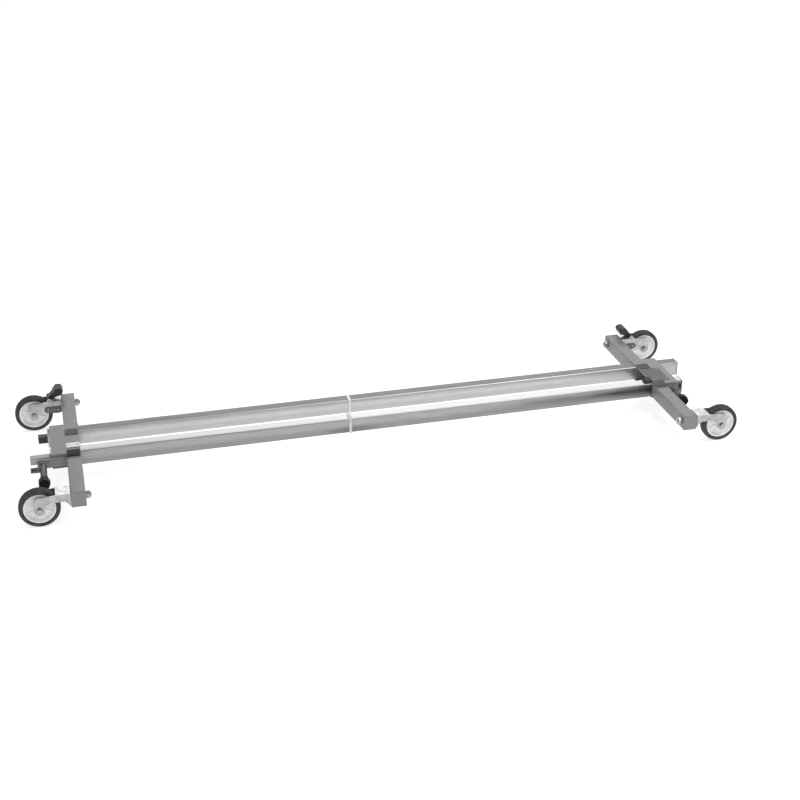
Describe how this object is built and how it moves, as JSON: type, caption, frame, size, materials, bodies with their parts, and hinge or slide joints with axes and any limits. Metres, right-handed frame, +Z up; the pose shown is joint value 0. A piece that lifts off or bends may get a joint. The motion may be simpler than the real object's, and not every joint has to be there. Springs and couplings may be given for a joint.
{
  "type": "wheeled spreader beam",
  "caption": "Low wheeled spreader beam: parallel spliced tubes with a sliding cross-arm carriage at each end, rigid wheel forks, foot brakes at the far side and hand screws at the near side.",
  "frame": {"origin": "on the floor, midway between the wheels", "axes": "+X along the tubes, +Y to the side with the brake pedals, +Z up"},
  "size_m": [1.88, 0.5676, 0.122],
  "materials": {
    "tube": "bright zinc-plated rectangular steel tube, satin",
    "frame_paint": "mid grey enamel on welded steel, semi-matt",
    "zinc": "bright zinc plating",
    "hub": "light grey moulded nylon",
    "tyre": "dark rubber",
    "black_plastic": "black moulded nylon",
    "black_rubber": "black rubber pad",
    "ring": "white moulded plastic",
    "grey_plastic": "grey moulded plastic"
  },
  "bodies": {
    "beam": {"back_left_tube": "tube", "back_right_tube": "tube", "back_splice_tube": "zinc", "back_joint_ring": "ring", "back_right_end_cap": "grey_plastic", "front_left_tube": "tube", "front_right_tube": "tube", "front_splice_tube": "zinc", "front_joint_ring": "ring", "front_right_end_cap": "grey_plastic", "back_left_plug": "black_plastic", "front_left_stub": "tube"},
    "left_carriage": {"left_sleeve_block": "frame_paint", "left_near_arm": "frame_paint", "left_near_arm_cap": "grey_plastic", "left_near_load_pad": "black_rubber", "left_near_fork": "zinc", "left_near_stem_bolt": "zinc", "left_near_stem_nut": "zinc", "left_near_axle_bolt": "zinc", "left_near_axle_nut": "zinc", "left_far_arm": "frame_paint", "left_far_arm_cap": "grey_plastic", "left_far_load_pad": "black_rubber", "left_far_fork": "zinc", "left_far_stem_bolt": "zinc", "left_far_stem_nut": "zinc", "left_far_axle_bolt": "zinc", "left_far_axle_nut": "zinc", "left_far_pedal_pin": "zinc"},
    "left_near_wheel": {"left_near_wheel_hub": "hub", "left_near_tyre": "tyre"},
    "left_far_wheel": {"left_far_wheel_hub": "hub", "left_far_tyre": "tyre"},
    "left_brake": {"left_far_brake_pedal": "black_plastic"},
    "left_screw": {"left_hand_screw": "black_plastic"},
    "right_carriage": {"right_sleeve_block": "frame_paint", "right_near_arm": "frame_paint", "right_near_arm_cap": "grey_plastic", "right_near_load_pad": "black_rubber", "right_near_fork": "zinc", "right_near_stem_bolt": "zinc", "right_near_stem_nut": "zinc", "right_near_axle_bolt": "zinc", "right_near_axle_nut": "zinc", "right_far_arm": "frame_paint", "right_far_arm_cap": "grey_plastic", "right_far_load_pad": "black_rubber", "right_far_fork": "zinc", "right_far_stem_bolt": "zinc", "right_far_stem_nut": "zinc", "right_far_axle_bolt": "zinc", "right_far_axle_nut": "zinc", "right_far_pedal_pin": "zinc"},
    "right_near_wheel": {"right_near_wheel_hub": "hub", "right_near_tyre": "tyre"},
    "right_far_wheel": {"right_far_wheel_hub": "hub", "right_far_tyre": "tyre"},
    "right_brake": {"right_far_brake_pedal": "black_plastic"},
    "right_screw": {"right_hand_screw": "black_plastic"}
  },
  "joints": [
    {"name": "left_carriage_slide", "type": "slide", "parent": "beam", "child": "left_carriage", "axis": [1, 0, 0], "range_m": [0, 0.6]},
    {"name": "left_near_wheel_spin", "type": "hinge", "parent": "left_carriage", "child": "left_near_wheel", "pos_m": [-0.89, -0.257, 0.05], "axis": [0, 1, 0], "continuous": true},
    {"name": "left_far_wheel_spin", "type": "hinge", "parent": "left_carriage", "child": "left_far_wheel", "pos_m": [-0.89, 0.257, 0.05], "axis": [0, 1, 0], "continuous": true},
    {"name": "left_brake_tilt", "type": "hinge", "parent": "left_carriage", "child": "left_brake", "pos_m": [-0.846, 0.257, 0.088], "axis": [0, -1, 0], "range_deg": [-10, 20]},
    {"name": "left_screw_turn", "type": "hinge", "parent": "left_carriage", "child": "left_screw", "pos_m": [-0.874, -0.12, 0.068], "axis": [0, 1, 0], "continuous": true},
    {"name": "right_carriage_slide", "type": "slide", "parent": "beam", "child": "right_carriage", "axis": [-1, 0, 0], "range_m": [0, 0.6]},
    {"name": "right_near_wheel_spin", "type": "hinge", "parent": "right_carriage", "child": "right_near_wheel", "pos_m": [0.89, -0.257, 0.05], "axis": [0, 1, 0], "continuous": true},
    {"name": "right_far_wheel_spin", "type": "hinge", "parent": "right_carriage", "child": "right_far_wheel", "pos_m": [0.89, 0.257, 0.05], "axis": [0, 1, 0], "continuous": true},
    {"name": "right_brake_tilt", "type": "hinge", "parent": "right_carriage", "child": "right_brake", "pos_m": [0.846, 0.257, 0.088], "axis": [0, 1, 0], "range_deg": [-10, 20]},
    {"name": "right_screw_turn", "type": "hinge", "parent": "right_carriage", "child": "right_screw", "pos_m": [0.836, -0.12, 0.068], "axis": [0, 1, 0], "continuous": true}
  ]
}
